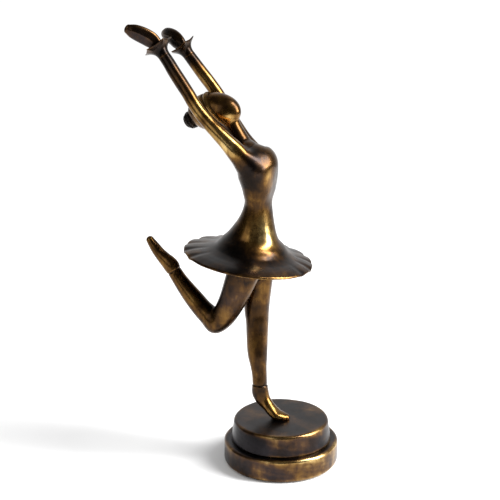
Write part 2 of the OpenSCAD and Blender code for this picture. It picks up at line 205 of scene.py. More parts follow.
KNEE = ((-54, -13, 81.7 + BASE_H), (-1, 0, 0.05))
LEFT_ANKLE = ((-17.8, -4, 28.5 + BASE_H), (0, -0.05, -1))
RIGHT_ANKLE = ((-91.3, -14.3, 121 + BASE_H), (-0.55, -0.02, 0.84))
HIPS = ((0, 0, 113 + BASE_H), (0, 0, -1))
SHOULDERS = ((-31.5, 0, 231 + BASE_H), (-0.66, 0, 0.75))
HAIR_EDGE = ((-57, 0, 262 + BASE_H), (0.73, 0, 0.68))


def side(p, plane):
    """Signed distance of points from a plane, positive the way its normal points."""
    return (p - np.array(plane[0], float)) @ unit(plane[1])


# ---- The tutu's own frame --------------------------------------------------------------------

TUTU_AT = np.array([-29.8, -1, 138.4 + BASE_H])
TUTU_R = 53.0
PITCH, ROLL = math.radians(6.3), math.radians(-5)
RX = np.array([[1, 0, 0], [0, math.cos(ROLL), -math.sin(ROLL)], [0, math.sin(ROLL), math.cos(ROLL)]])
RY = np.array([[math.cos(PITCH), 0, math.sin(PITCH)], [0, 1, 0], [-math.sin(PITCH), 0, math.cos(PITCH)]])
TUTU_TURN = RY @ RX
SEAT_Z = 12.0             # cut between tutu and torso, in the tutu's frame
HIP_TOP_Z = 6.9           # top of the pelvis, in the tutu's frame
SLOPE = catmull([[0, 13], [18, 13], [22, 12.9], [25, 12], [28, 9.4], [32, 6.7], [37, 4.7], [42, 3.5],
                 [47, 2.2], [53, 0], [60, -3]], 12)


def tutu_plane(z):
    """A plane across the tutu's frame, with its normal pointing up."""
    return tuple(TUTU_AT + TUTU_TURN[:, 2] * z), tuple(TUTU_TURN[:, 2])


def tutu_polar(p):
    q = (p - TUTU_AT) @ TUTU_TURN
    r = np.hypot(q[:, 0], q[:, 1])
    for _ in range(4):
        forward = 3.3 * (TUTU_R - np.minimum(r, TUTU_R)) / (TUTU_R - 25)
        r = np.hypot(q[:, 0] - forward, q[:, 1])
    return r, np.arctan2(q[:, 1], q[:, 0] - forward), q[:, 2]


def folds(r, a):
    """Wide lobes with narrow valleys at the rim, soft at the front and strong at the sides."""
    phase = 18 * a + 0.45 * np.sin(3 * a)
    lobe = 1 - 2 * (0.5 - 0.5 * np.cos(phase)) ** 2.5
    off_front = np.abs((a + 1.15 + math.pi) % (2 * math.pi) - math.pi)
    strong = 0.06 + 0.94 * smooth(off_front, 0.75, 1.35)
    return lobe * strong * np.clip((r - 33) / 20, 0, 1.1) ** 1.6


def tutu_top(r, a):
    return np.interp(r, SLOPE[:, 0], SLOPE[:, 1]) + 0.75 * folds(r, a)


def tutu_field(p):
    out = np.full(len(p), FAR)
    q = (p - TUTU_AT) @ TUTU_TURN
    near = (np.hypot(q[:, 0], q[:, 1]) < 62) & (q[:, 2] > -8) & (q[:, 2] < 22)
    r, a, z = tutu_polar(p[near])
    top = tutu_top(r, a)
    grade = (tutu_top(r + 0.5, a) - tutu_top(r - 0.5, a))
    lean = 1 / np.sqrt(1 + grade ** 2)
    deep = 2 + 3 * smooth(-r, -28, -24)
    mid = (z - top + deep / 2) * lean
    over = np.maximum(r - (TUTU_R - 0.9), 0)
    plate = np.hypot(over, np.maximum(np.abs(mid) - deep * lean / 2 + 0.9, 0)) - 0.9
    flat = np.abs(mid) - deep * lean / 2
    out[near] = np.where(over > 0, plate, np.maximum(flat, -8))
    return out


# ---- Fields of the body ----------------------------------------------------------------------

def slipper_step(p, plane, rise):
    """How far a slipper stands out from the skin: a thin lip with a groove at its edge."""
    s = side(p, plane)
    return rise * smooth(s, 0, 0.7) - 0.45 * np.exp(-(s / 0.55) ** 2)


def skull_field(p):
    """An egg that lies along x, with its front end tipped up a little."""
    q = p - SKULL_AT
    c, d = math.cos(SKULL_TILT), math.sin(SKULL_TILT)
    q = np.stack([q[:, 0] * c + q[:, 2] * d, q[:, 1], q[:, 2] * c - q[:, 0] * d], 1)
    k = np.linalg.norm(q / SKULL_SIZE, axis=1)
    g = np.linalg.norm(q / np.square(SKULL_SIZE), axis=1)
    return np.where(k > 0.05, k * (k - 1) / np.maximum(g, 1e-9), -8.0)


def hair_field(p):
    """The cap of hair: the skull made thicker behind the hairline, with a rolled edge."""
    s = side(p, HAIR_EDGE)
    skull = skull_field(p)
    crown = 0.45 * smooth(-s, -0.5, 0.8)
    roll = 0.6 * np.exp(-((s + 1.4) / 1.1) ** 2) - 0.45 * np.exp(-((s + 3.7) / 0.8) ** 2)
    return skull - crown - roll


def head_field(p):
    near = np.linalg.norm(p - SKULL_AT, axis=1) < 36
    out = np.full(len(p), FAR)
    out[near] = hair_field(p[near])
    return out


BEND_Z = 254              # height of the upper body's sharp bend
BEND_SHIFTS = np.arange(-2.8, 3, 0.8)


def spine_field(p):
    """The upper body. Around its sharp bend at the shoulders it is averaged, to soften a step."""
    out = SPINE.field(p)
    share = smooth(np.abs(p[:, 2] - BEND_Z), 18, 12)
    bend = (share > 0) & (out < 12)
    q = p[bend]
    mean = sum(SPINE.field(q + (0, 0, shift)) for shift in BEND_SHIFTS) / len(BEND_SHIFTS)
    out[bend] += share[bend] * (mean - out[bend])
    return out


def upper_field(p):
    torso = spine_field(p)
    q = (p - TUTU_AT) @ TUTU_TURN
    torso = np.maximum(torso, 8.5 - q[:, 2])
    torso = smin(torso, tutu_field(p), 7)
    low = smooth(side(p, SHOULDERS), 8, -10)
    body = smin(torso, RIGHT_ARM.field(p), 3 + 6 * low)
    body = smin(body, LEFT_ARM.field(p), 3 + 5 * low)
    neck = smin(NECK.field(p), head_field(p), 2.5)
    return smin(body, neck, 1.8)


def lower_field(p):
    trunk = TRUNK.field(p)
    leg = LEFT_LEG.field(p)
    low = p[:, 2] < BASE_H + 40
    leg[low] -= slipper_step(p[low], LEFT_ANKLE, 0.3)
    shin = SHIN.field(p)
    far = p[:, 0] < -80
    shin[far] -= slipper_step(p[far], RIGHT_ANKLE, 0.3)
    raised = smin(THIGH.field(p), shin, 3)
    return np.minimum(smin(leg, trunk, 4), smin(raised, trunk, 4))


# Brighter spots, as x, y, z, how far, how much: gold wear in part, and in part painted highlights and
# painted reflections (the near arm's top, chest, waist, face, and the right of the upper step's wall).
GILT_AND_PAINTED_HIGHLIGHTS = [
    [-30, -25, 268, 10, 0.4], [-36, -27, 275, 10, 0.45], [-47, -27, 288, 11, 0.5], [-58, -27, 300, 11, 0.45],
    [-52, 14, 290, 16, 0.55], [-66, 14, 308, 16, 0.55], [-78, 13, 322, 12, 0.2],
    [-2, -12, 249, 9, 0.8], [-12, -14, 203, 16, 0.5], [-8, -13, 190, 14, 0.35], [-30, -14, 198, 12, 0.4],
    [-34, 3, 288, 5, 0.4], [-42, -8, 292, 6, 0.5], [-60, -10, 300, 12, 0.2], [-18, 2, 150, 14, 0.25],
    [-60, -20, 122, 12, 0.2], [-75, -20, 136, 12, 0.25], [-96, -19, 160, 12, 0.3], [-10, -7, 54, 8, 0.2],
    [0, -4, 42, 9, 0.45], [33, -25, 28, 10, 0.45], [-70, -9, 298, 11, 0.25], [-60, -8, 287, 10, 0.2],
    [-14, -12, 212, 9, 0.25], [-8, -8, 205, 14, 0.45], [-44, -9, 296, 9, 0.3],
]
# Darker spots, as x, y, z, how far, how much: dark patina in part, and in part painted shade (the gap beside
# the neck, the recess at the upper step's foot) and painted dimming of reflections on the shoulder and neck.
DARK_PATINA_AND_PAINTED_SHADE = [
    [-86, -20, 328, 14, 0.25], [-42, -22, 188, 20, 0.45], [-30, -40, 182, 20, 0.4], [-22, -15, 254, 9, 0.3],
    [-62, -10, 128, 10, 0.3], [-14, -19, 244, 9, 0.25], [-90, -10, 160, 8, 0.3], [-42, -9, 282, 8, 0.5],
    [-34, -8, 272, 8, 0.5], [-54, -9, 286, 7, 0.4], [-80, 0, 286, 12, 0.2], [-110, 22, 345, 16, 0.3],
    [-20, -6, 62, 9, 0.25], [-95, -17.5, 339, 7, 0.9], [-91, 17.5, 333, 7, 0.9],
    [-20, -20, 262, 10, 0.3], [0, -14, 186, 9, 0.3], [-46, -20, 136, 14, 0.2], [-14, -23, 187, 9, 0.3],
]
# Spots with a cool, purple grey film: x, y, z, how far, how much.
COOL = [[-38, -18, 146, 14, 0.5], [-112, -24, 356, 14, 0.4], [-8, -24, 262, 10, 0.5]]
for turn in range(0, 360, 20):
    c, d = math.cos(math.radians(turn)), math.sin(math.radians(turn))
    COOL.append([43 * c - 28, 43 * d, 176, 9, 0.4])
# Front arcs of both steps' top edges made lighter, part gold wear and part painted highlight; a ring of
# painted shade in the recess at the upper step's foot.
for turn in range(-135, 1, 9):
    c, d = math.cos(math.radians(turn)), math.sin(math.radians(turn))
    GILT_AND_PAINTED_HIGHLIGHTS.append([38.6 * c, 38.6 * d, BASE_H - 1.5, 4, 0.3])
    GILT_AND_PAINTED_HIGHLIGHTS.append([46.5 * c, 46.5 * d, DECK_Z - 1.5, 4, 0.3])
    DARK_PATINA_AND_PAINTED_SHADE.append([41.5 * c, 41.5 * d, DECK_Z + 2, 5, 0.7])
# The upper step's wall made darker on its left side.
for turn in range(-170, -80, 10):
    c, d = math.cos(math.radians(turn)), math.sin(math.radians(turn))
    DARK_PATINA_AND_PAINTED_SHADE.append([41 * c, 41 * d, DECK_Z + 8, 8, 0.9])


def blobs(co, places):
    total = np.zeros(len(co))
    for x, y, z, reach, much in places:
        total += much * np.exp(-((co - (x, y, z)) ** 2).sum(1) / reach ** 2)
    return total


NORMALS = ("nx", "ny", "nz")
FINE_ROUNDS, WIDE_ROUNDS = 10, 60    # smoothing rounds that the relief is measured against


# ---- From a field to a mesh ------------------------------------------------------------------

def sample(field, lo, hi, h):
    """The field on a grid. Only cells near the surface are worked out in full."""
    coarse = 4
    lo = np.array(lo, float)
    n = np.ceil((np.array(hi, float) - lo) / (h * coarse)).astype(int)
    index = np.stack(np.meshgrid(*[np.arange(m) for m in n], indexing="ij"), -1).reshape(-1, 3)
    middle = field(lo + (index + 0.5) * coarse * h).reshape(n)
    near = np.abs(middle) < 1.55 * coarse * h
    grid = np.where(middle < 0, -1.0, 1.0) * FAR
    for axis in range(3):
        grid = np.repeat(grid, coarse, axis)
        near = np.repeat(near, coarse, axis)
    grid = np.pad(grid, ((0, 1),) * 3, mode="edge")
    near = np.pad(near, ((0, 1),) * 3, mode="edge")
    for axis in range(3):
        near |= np.roll(near, 1, axis)
    spots = np.argwhere(near)
    for s in range(0, len(spots), 400000):
        part = spots[s:s + 400000]
        grid[part[:, 0], part[:, 1], part[:, 2]] = field(lo + part * h)
    return grid, lo


def surface(grid, lo, h):
    """Quads over the zero level of a grid, one vertex in each cell that the level crosses."""
    inside = grid < 0
    size = np.array(grid.shape) - 1
    count = np.zeros(size, np.int8)
    corners = [(i, j, k) for i in (0, 1) for j in (0, 1) for k in (0, 1)]
    for i, j, k in corners:
        count += inside[i:i + size[0], j:j + size[1], k:k + size[2]]
    cells = np.argwhere((count > 0) & (count < 8))
    number = np.full(size, -1, int)
    number[cells[:, 0], cells[:, 1], cells[:, 2]] = np.arange(len(cells))
    total = np.zeros((len(cells), 3))
    hits = np.zeros(len(cells))
    for a in corners:
        for axis in range(3):
            if a[axis]:
                continue
            b = list(a)
            b[axis] = 1
            fa = grid[cells[:, 0] + a[0], cells[:, 1] + a[1], cells[:, 2] + a[2]]
            fb = grid[cells[:, 0] + b[0], cells[:, 1] + b[1], cells[:, 2] + b[2]]
            cross = (fa < 0) != (fb < 0)
            t = np.where(cross, fa / np.where(cross, fa - fb, 1), 0)
            spot = np.tile(np.array(a, float), (len(cells), 1))
            spot[:, axis] = t
            total[cross] += spot[cross]
            hits += cross
    verts = lo + (cells + total / hits[:, None]) * h
    quads = []
    for axis in range(3):
        u, v = [(1, 2), (2, 0), (0, 1)][axis]
        first = [slice(None)] * 3
        second = [slice(None)] * 3
        first[axis] = slice(0, -1)
        second[axis] = slice(1, None)
        one, two = inside[tuple(first)], inside[tuple(second)]
        edges = np.argwhere(one != two)
        keep = (edges[:, u] > 0) & (edges[:, v] > 0)
        keep &= (edges[:, u] < size[u]) & (edges[:, v] < size[v])
        edges = edges[keep]
        ring = []
        for du, dv in ((1, 1), (0, 1), (0, 0), (1, 0)):
            cell = edges.copy()
            cell[:, u] -= du
            cell[:, v] -= dv
            ring.append(number[cell[:, 0], cell[:, 1], cell[:, 2]])
        ring = np.stack(ring, 1)
        out = one[edges[:, 0], edges[:, 1], edges[:, 2]]
        quads.append(np.where(out[:, None], ring, ring[:, ::-1]))
    return verts, np.concatenate(quads)


def gradient(field, p, e=0.15):
    g = np.zeros_like(p)
    for axis in range(3):
        step = np.zeros(3)
        step[axis] = e
        g[:, axis] = (field(p + step) - field(p - step)) / (2 * e)
    return g


def field_mesh(field, lo, hi, h=VOXEL):
    """Vertices and quads of a field's surface, with each vertex drawn onto the true level."""
    grid, lo = sample(field, lo, hi, h)
    verts, quads = surface(grid, lo, h)
    for _ in range(2):
        g = gradient(field, verts)
        size = np.maximum((g ** 2).sum(1), 0.3)
        move = g * (field(verts) / size)[:, None]
        long = np.linalg.norm(move, axis=1)
        move *= np.minimum(1, 0.35 * h / np.maximum(long, 1e-9))[:, None]
        verts = verts - move
    return verts, quads, unit(gradient(field, verts, 0.4) + 1e-9)


def relief(mesh, normal=None):
    """How far each vertex stands out from its surroundings, after few and after many smoothing rounds."""
    n = len(mesh.vertices)
    co = np.empty(n * 3)
    mesh.vertices.foreach_get("co", co)
    co = co.reshape(-1, 3)
    if normal is None:
        normal = np.empty(n * 3)
        mesh.vertices.foreach_get("normal", normal)
        normal = normal.reshape(-1, 3)
    edges = np.empty(len(mesh.edges) * 2, int)
    mesh.edges.foreach_get("vertices", edges)
    edges = edges.reshape(-1, 2)
    both = np.concatenate([edges, edges[:, ::-1]])
    degree = np.maximum(np.bincount(both[:, 0], minlength=n), 1)
    now = co.copy()
    out = []
    for step in range(1, WIDE_ROUNDS + 1):
        for axis in range(3):
            total = np.bincount(both[:, 0], weights=now[both[:, 1], axis], minlength=n)
            now[:, axis] += 0.5 * (total / degree - now[:, axis])
        if step in (FINE_ROUNDS, WIDE_ROUNDS):
            out.append(((co - now) * normal).sum(1))
    return co, out[0], out[-1]


def layer(mesh, name, values):
    mesh.attributes.new(name, "FLOAT", "POINT").data.foreach_set("value", values.astype(np.float32))


def stamp(mesh, normal=None):
    """Notes on each vertex how far it stands out, its listed spots (gold wear and dark patina, with painted
    highlights and painted shade) and its cool film.
    """
    co, fine, wide = relief(mesh, normal)
    layer(mesh, "proud", np.clip(fine * 2.2 + wide * 0.5, -2, 2))
    layer(mesh, "wear_patina_and_painted_light", blobs(co, GILT_AND_PAINTED_HIGHLIGHTS) - blobs(co, DARK_PATINA_AND_PAINTED_SHADE))
    layer(mesh, "cool", blobs(co, COOL))


def to_bmesh(verts, faces, normal):
    mesh = bpy.data.meshes.new("work")
    mesh.from_pydata(verts.tolist(), [], faces.tolist(), shade_flat=False)
    stamp(mesh, normal)
    for axis, name in enumerate(NORMALS):
        layer(mesh, name, normal[:, axis])
    bm = bmesh.new()
    bm.from_mesh(mesh)
    bpy.data.meshes.remove(mesh)
    return bm


def cut_off(bm, plane, keep_out):
    """Cuts a closed mesh with a plane, keeps one side and closes it with flat faces."""
    geom = bm.verts[:] + bm.edges[:] + bm.faces[:]
    cut = bmesh.ops.bisect_plane(bm, geom=geom, dist=1e-4, plane_co=plane[0], plane_no=unit(plane[1]),
                                 clear_outer=not keep_out, clear_inner=keep_out)
    rim = [e for e in cut["geom_cut"] if isinstance(e, bmesh.types.BMEdge) and e.is_boundary]
    for f in bmesh.ops.holes_fill(bm, edges=rim, sides=0)["faces"]:
        f.smooth = False
    for e in rim:
        if e.is_valid:
            e.smooth = False


def slit(bm, y, height):
    """Parts a mesh along the plane at y, up to a height above the shoulder cut, and closes both sides."""
    near = [f for f in bm.faces if side(np.array([f.calc_center_median()]), SHOULDERS)[0] < height]
    geom = list({v for f in near for v in f.verts}) + list({e for f in near for e in f.edges}) + near
    cut = bmesh.ops.bisect_plane(bm, geom=geom, dist=1e-4, plane_co=(0, y, 0), plane_no=(0, 1, 0))
    seam = [e for e in cut["geom_cut"] if isinstance(e, bmesh.types.BMEdge)]
    bmesh.ops.split_edges(bm, edges=seam)
    rim = [e for e in bm.edges if e.is_boundary]
    for f in bmesh.ops.holes_fill(bm, edges=rim, sides=0)["faces"]:
        f.smooth = False


def loose_parts(bm):
    """The connected pieces of a mesh, each as a set of vertex indices."""
    bm.verts.index_update()
    seen = np.zeros(len(bm.verts), bool)
    parts = []
    for v in bm.verts:
        if seen[v.index]:
            continue
        stack, found = [v], []
        seen[v.index] = True
        while stack:
            w = stack.pop()
            found.append(w)
            for e in w.link_edges:
                o = e.other_vert(w)
                if not seen[o.index]:
                    seen[o.index] = True
                    stack.append(o)
        parts.append(found)
    return parts


def pick_part(bm, near):
    """Keeps only the connected piece that comes nearest to a point."""
    near = Vector(near)
    parts = loose_parts(bm)
    best = min(parts, key=lambda part: min((v.co - near).length for v in part))
    keep = set(v.index for v in best)
    bmesh.ops.delete(bm, geom=[v for v in bm.verts if v.index not in keep], context="VERTS")


def piece_from(bm, name, cuts=(), near=None):
    """A finished piece: a copy of a body mesh, cut by planes, in metres."""
    work = bm.copy()
    for plane, keep_out in cuts:
        cut_off(work, plane, keep_out)
    if near is not None:
        pick_part(work, near)
    return finish_mesh(work, name)


def finish_mesh(work, name):
    """A mesh object in metres. Its normals are those of the uncut surface, so that no joint shows."""
    mesh = bpy.data.meshes.new(name)
    work.to_mesh(mesh)
    work.free()
    n = len(mesh.vertices)
    normal = np.zeros((n, 3))
    for axis, key in enumerate(NORMALS):
        values = np.empty(n)
        mesh.attributes[key].data.foreach_get("value", values)
        normal[:, axis] = values
        mesh.attributes.remove(mesh.attributes[key])
    corner = np.empty(len(mesh.loops), int)
    mesh.loops.foreach_get("vertex_index", corner)
    split = unit(normal + 1e-9)[corner]
    for f in mesh.polygons:
        if not f.use_smooth:
            split[f.loop_start:f.loop_start + f.loop_total] = f.normal
    mesh.polygons.foreach_set("use_smooth", np.ones(len(mesh.polygons), bool))
    mesh.normals_split_custom_set(split.tolist())
    mesh.transform(Matrix.Scale(MM, 4))
    obj = bpy.data.objects.new(name, mesh)
    scene.collection.objects.link(obj)
    return obj


def skin_object(name, rings):
    """A closed mesh through rings of points with the same count, each ring in order."""
    count, sides = len(rings), len(rings[0])
    verts = np.concatenate(rings)
    faces = []
    for i in range(count - 1):
        for k in range(sides):
            a, b = i * sides + k, i * sides + (k + 1) % sides
            faces.append((a, b, b + sides, a + sides))
    start, end = len(verts), len(verts) + 1
    verts = np.concatenate([verts, [rings[0].mean(0)], [rings[-1].mean(0)]])
    last = (count - 1) * sides
    for k in range(sides):
        faces.append((start, (k + 1) % sides, k))
        faces.append((end, last + k, last + (k + 1) % sides))
    mesh = bpy.data.meshes.new(name)
    mesh.from_pydata(verts.tolist(), [], faces)
    bm = bmesh.new()
    bm.from_mesh(mesh)
    bmesh.ops.recalc_face_normals(bm, faces=bm.faces[:])
    for f in bm.faces:
        f.smooth = True
    bm.to_mesh(mesh)
    bm.free()
    stamp(mesh)
    mesh.transform(Matrix.Scale(MM, 4))
    obj = bpy.data.objects.new(name, mesh)
    scene.collection.objects.link(obj)
    return obj


def turned_to(v):
    """Turn that takes +Z to a direction, as two turns: about Y, then about Z."""
    v = unit(v)
    b = math.acos(v[2])
    c = math.atan2(v[1], v[0])
    ry = np.array([[math.cos(b), 0, math.sin(b)], [0, 1, 0], [-math.sin(b), 0, math.cos(b)]])
    rz = np.array([[math.cos(c), -math.sin(c), 0], [math.sin(c), math.cos(c), 0], [0, 0, 1]])
    return rz @ ry


# ---- The figure's pieces ---------------------------------------------------------------------

upper = to_bmesh(*field_mesh(upper_field, (-104, -58, 150), (28, 56, 345)))
lower = to_bmesh(*field_mesh(lower_field, (-120, -30, 34), (14, 28, 192)))

SLIT_HEIGHT = 13          # how far above the shoulder cut the arms part from the neck
OUT, IN = True, False     # keep the side that a plane's normal points to, or the other
seat = tutu_plane(SEAT_Z)
hip_top = tutu_plane(HIP_TOP_Z)
ground = ((0, 0, BASE_H), (0, 0, -1))
pieces = {}
pieces["tutu"] = piece_from(upper, "tutu_brim", [(seat, IN)])
pieces["torso"] = piece_from(upper, "torso_body", [(seat, OUT), (SHOULDERS, IN)], (-21, 0, 230))
cut_off(upper, SHOULDERS, OUT)
for arm_plane in (-10.4, 8.4):
    slit(upper, arm_plane, SLIT_HEIGHT)
pieces["right_arm"] = piece_from(upper, "right_arm_body", [], (-95, -17.5, 339))
pieces["left_arm"] = piece_from(upper, "left_arm_body", [], (-91, 17.5, 333))
pieces["head"] = piece_from(upper, "head_body", [], (-74, 0, 293))
pieces["pelvis"] = piece_from(lower, "pelvis_body", [(hip_top, IN), (HIPS, IN)], (-28, -1, 170))
pieces["left_leg"] = piece_from(lower, "left_leg_body", [(HIPS, OUT), (LEFT_ANKLE, IN)], (-22, 0, 90))
pieces["left_slipper"] = piece_from(lower, "left_slipper_body", [(LEFT_ANKLE, OUT), (ground, IN)],
                                    (-15, -4, 50))
pieces["right_thigh"] = piece_from(lower, "right_thigh_body", [(HIPS, OUT), (KNEE, IN)],
                                   (-45, -13, 130))
pieces["right_shin"] = piece_from(lower, "right_shin_body", [(KNEE, OUT), (RIGHT_ANKLE, IN)],
                                  (-70, -13, 134))
pieces["right_slipper"] = piece_from(lower, "right_slipper_body", [(RIGHT_ANKLE, OUT)],
                                     (-105, -15, 173))
upper.free()
lower.free()


def hand_field(limb):
    def field(p):
        out = np.full(len(p), FAR)
        near = np.all((p > limb.lo) & (p < limb.hi), axis=1)
        u, _, _, du, _, a, _ = limb.local(p[near])
        along = u / (len(limb.c) - 1)
        ridge = 0.55 * np.exp(-((du - 0.25 * a) / 1.3) ** 2) * smooth(along, 0.05, 0.3)
        ridge *= 1 - smooth(along, 0.75, 1)
        out[near] = limb.field(p[near]) - ridge
        return out
    return field


for name, limb in (("right_hand", RIGHT_HAND), ("left_hand", LEFT_HAND)):
    bm = to_bmesh(*field_mesh(hand_field(limb), limb.c.min(0) - 9, limb.c.max(0) + 9, HAND_VOXEL))
    pieces[name] = finish_mesh(bm, name + "_body")


# ---- Cuffs -----------------------------------------------------------------------------------

CUFF_POINTS = 5
CUFF_SIDES = 160
WRIST_R = 4.85
# Height, radius as a share of the way from the wrist to the rim, and how much of the points is in it.
CUFF_OUT = catmull([[0, 0, 0], [2.5, 0.03, 0], [5, 0.15, 0], [7.2, 0.42, 0.3], [9, 0.8, 0.85]], 5)
CUFF_LIP = catmull([[9, 0.8, 0.85], [9.7, 0.95, 1], [10.3, 1, 1], [10.5, 0.95, 0.95]], 3)
CUFF_IN = catmull([[10.5, 0.95, 0.95], [9.5, 0.6, 0.5], [8.5, 0.22, 0.1], [8, -0.15, 0], [7.9, -0.5, 0]], 5)
CUFF_PROFILE = np.concatenate([CUFF_OUT, CUFF_LIP[1:], CUFF_IN[1:]])


def cuff(name, limb, spin, tip_r):
    turn = turned_to(limb.c[-1] - limb.c[-4])
    a = np.arange(CUFF_SIDES) * 2 * math.pi / CUFF_SIDES
    u = np.abs((a * CUFF_POINTS / (2 * math.pi)) % 1 - 0.5) * 2
    rings = []
    half = math.pi / CUFF_POINTS
    star = math.cos(half) / np.cos(half * u ** 1.3)
    for z, r, share in CUFF_PROFILE:
        rim = tip_r * (1 + share * (star - 1) - 0.1 * (1 - share))
        rr = WRIST_R + r * (rim - WRIST_R)
        zz = z + share * (0.5 * u ** 2 - 0.3 * (1 - u))
        around = a + math.radians(spin)
        ring = np.stack([rr * np.cos(around), rr * np.sin(around), zz], 1)
        rings.append(ring @ turn.T + limb.c[-1])
    return skin_object(name, rings)


pieces["right_cuff"] = cuff("right_cuff_body", RIGHT_ARM, 12, 13.4)
pieces["left_cuff"] = cuff("left_cuff_body", LEFT_ARM, -14, 12.2)


# ---- Hair bun: a coil of rope ----------------------------------------------------------------

def bun(name):
    turn = turned_to((-0.82, 0, -0.57))
    at = np.array([-77.6, 0, 249.6 + BASE_H])
    outline = catmull([[-5, 5.2], [-3, 6.7], [0, 7.2], [3, 7.6], [6, 6.9], [8.2, 5.2], [9.3, 3],
                       [9.6, 0.4]], 8)
    a = np.arange(96) * 2 * math.pi / 96
    rings = []
    for z, r in outline:
        coil = np.abs(np.cos(math.pi * (z / 3.0 + a / (2 * math.pi)))) ** 0.7
        strand = 0.12 * np.cos(17 * a + 2.2 * z)
        rr = r - 0.95 * (1 - coil) * min(1, r / 3) + strand * min(1, r / 5)
        ring = np.stack([rr * np.cos(a), rr * np.sin(a), z + 0 * a], 1)
        rings.append(ring @ turn.T + at)
    return skin_object(name, rings)


pieces["hair_bun"] = bun("hair_bun_coil")


# ---- Base ------------------------------------------------------------------------------------

def arc(cx, cz, r, a, b, steps=8):
    t = np.radians(np.linspace(a, b, steps + 1))
    return [[cx + r * math.cos(x), cz + r * math.sin(x)] for x in t]


def resample(points, gap):
    """Points along an outline, no more than gap apart, with its corners kept."""
    rows = [points[0]]
    for p, q in zip(points[:-1], points[1:]):
        n = max(1, int(math.ceil(math.dist(p, q) / gap)))
        for j in range(1, n + 1):
            rows.append([p[0] + (q[0] - p[0]) * j / n, p[1] + (q[1] - p[1]) * j / n])
    return rows


def wave(a, seed, count=5):
    """A smooth periodic wobble of about one, made of a few low waves."""
    rng = np.random.RandomState(seed)
    total = 0 * a
    for n in range(2, 2 + count):
        total = total + rng.uniform(-1, 1) * np.cos(n * a + rng.uniform(0, 6.28)) / math.sqrt(n)
    return total


def revolve(name, outline, seed, wobble, top_z, sides=300):
    """A turned piece whose outer wall and top edge wander a little, as hand finishing leaves them."""
    a = np.arange(sides) * 2 * math.pi / sides
    reach = max(p[0] for p in outline)
    rings = []
    for r, z in outline:
        outer = smooth(np.array(r / reach), 0.55, 0.97)
        rr = r + wobble * outer * (wave(a, seed) + 0.35 * wave(a + 0.13 * z, seed + 1, 14))
        high = smooth(np.array(z - top_z), -6, 0) * smooth(np.array(r / reach), 0.7, 0.96)
        zz = z + 0.45 * wobble * high * (wave(a, seed + 2) + 0.5 * wave(a, seed + 3, 16))
        rings.append(np.stack([rr * np.cos(a), rr * np.sin(a), zz], 1))
    return skin_object(name, rings)


def drill(obj, x, y, r, z0, z1):
    """Cuts a round hole down through a piece."""
    a = np.arange(48) * 2 * math.pi / 48
    rings = [np.stack([x + r * np.cos(a), y + r * np.sin(a), z + 0 * a], 1) for z in (z0, z1)]
    tool = skin_object("tool", rings)
    mod = obj.modifiers.new("bore", "BOOLEAN")
    mod.operation = "DIFFERENCE"
    mod.object = tool
    mod.solver = "EXACT"
    bpy.context.view_layer.update()
    solved = obj.evaluated_get(bpy.context.evaluated_depsgraph_get())
    mesh = bpy.data.meshes.new_from_object(solved)
    obj.modifiers.clear()
    obj.data = mesh
    bpy.data.objects.remove(tool)


LOWER_R, UPPER_TOP, UPPER_FOOT, WALL = 47.5, 39.5, 41.5, 5.0
lower_outline = resample(
    [[0.3, DECK_Z - WALL], [LOWER_R - 6.5, DECK_Z - WALL], [LOWER_R - 6.5, 2], [LOWER_R - 4, 2],
     [LOWER_R - 4, 0.5]] + arc(LOWER_R - 3, 3.5, 3, -90, 0) + arc(LOWER_R - 2.6, DECK_Z - 2.6, 2.6, 0, 90)
    + [[0.3, DECK_Z]], 1.3)
upper_outline = resample(
    [[0.3, BASE_H - WALL], [UPPER_TOP - 5, BASE_H - WALL], [UPPER_TOP - 5, DECK_Z + 0.02],
     [UPPER_FOOT, DECK_Z + 0.02]] + arc(UPPER_TOP - 2.5, BASE_H - 2.5, 2.5, 6, 90)
    + [[0.3, BASE_H]], 1.3)
pieces["base_lower_step"] = revolve("base_lower_step_cast", lower_outline, 5, 0.22, DECK_Z)
pieces["base_upper_step"] = revolve("base_upper_step_cast", upper_outline, 11, 0.2, BASE_H)
ANCHOR_X, ANCHOR_Y, BORE_R = -5.5, -3, 2.02
drill(pieces["base_lower_step"], ANCHOR_X, ANCHOR_Y, BORE_R, 10, 24)
drill(pieces["base_upper_step"], ANCHOR_X, ANCHOR_Y, BORE_R, 28, 42)

felt_outline = resample([[0.3, 2]] + arc(43.1, 1.7, 0.3, 90, 0, 3) + arc(43, 0.4, 0.4, 0, -90, 4)
                        + [[0.3, 0]], 2.5)
pieces["base_felt_pad"] = revolve("felt_pad_disc", felt_outline, 21, 0.05, 9, 180)


for name, obj in pieces.items():
    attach(obj, "root")
    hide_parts(name)


# ---- Materials -------------------------------------------------------------------------------

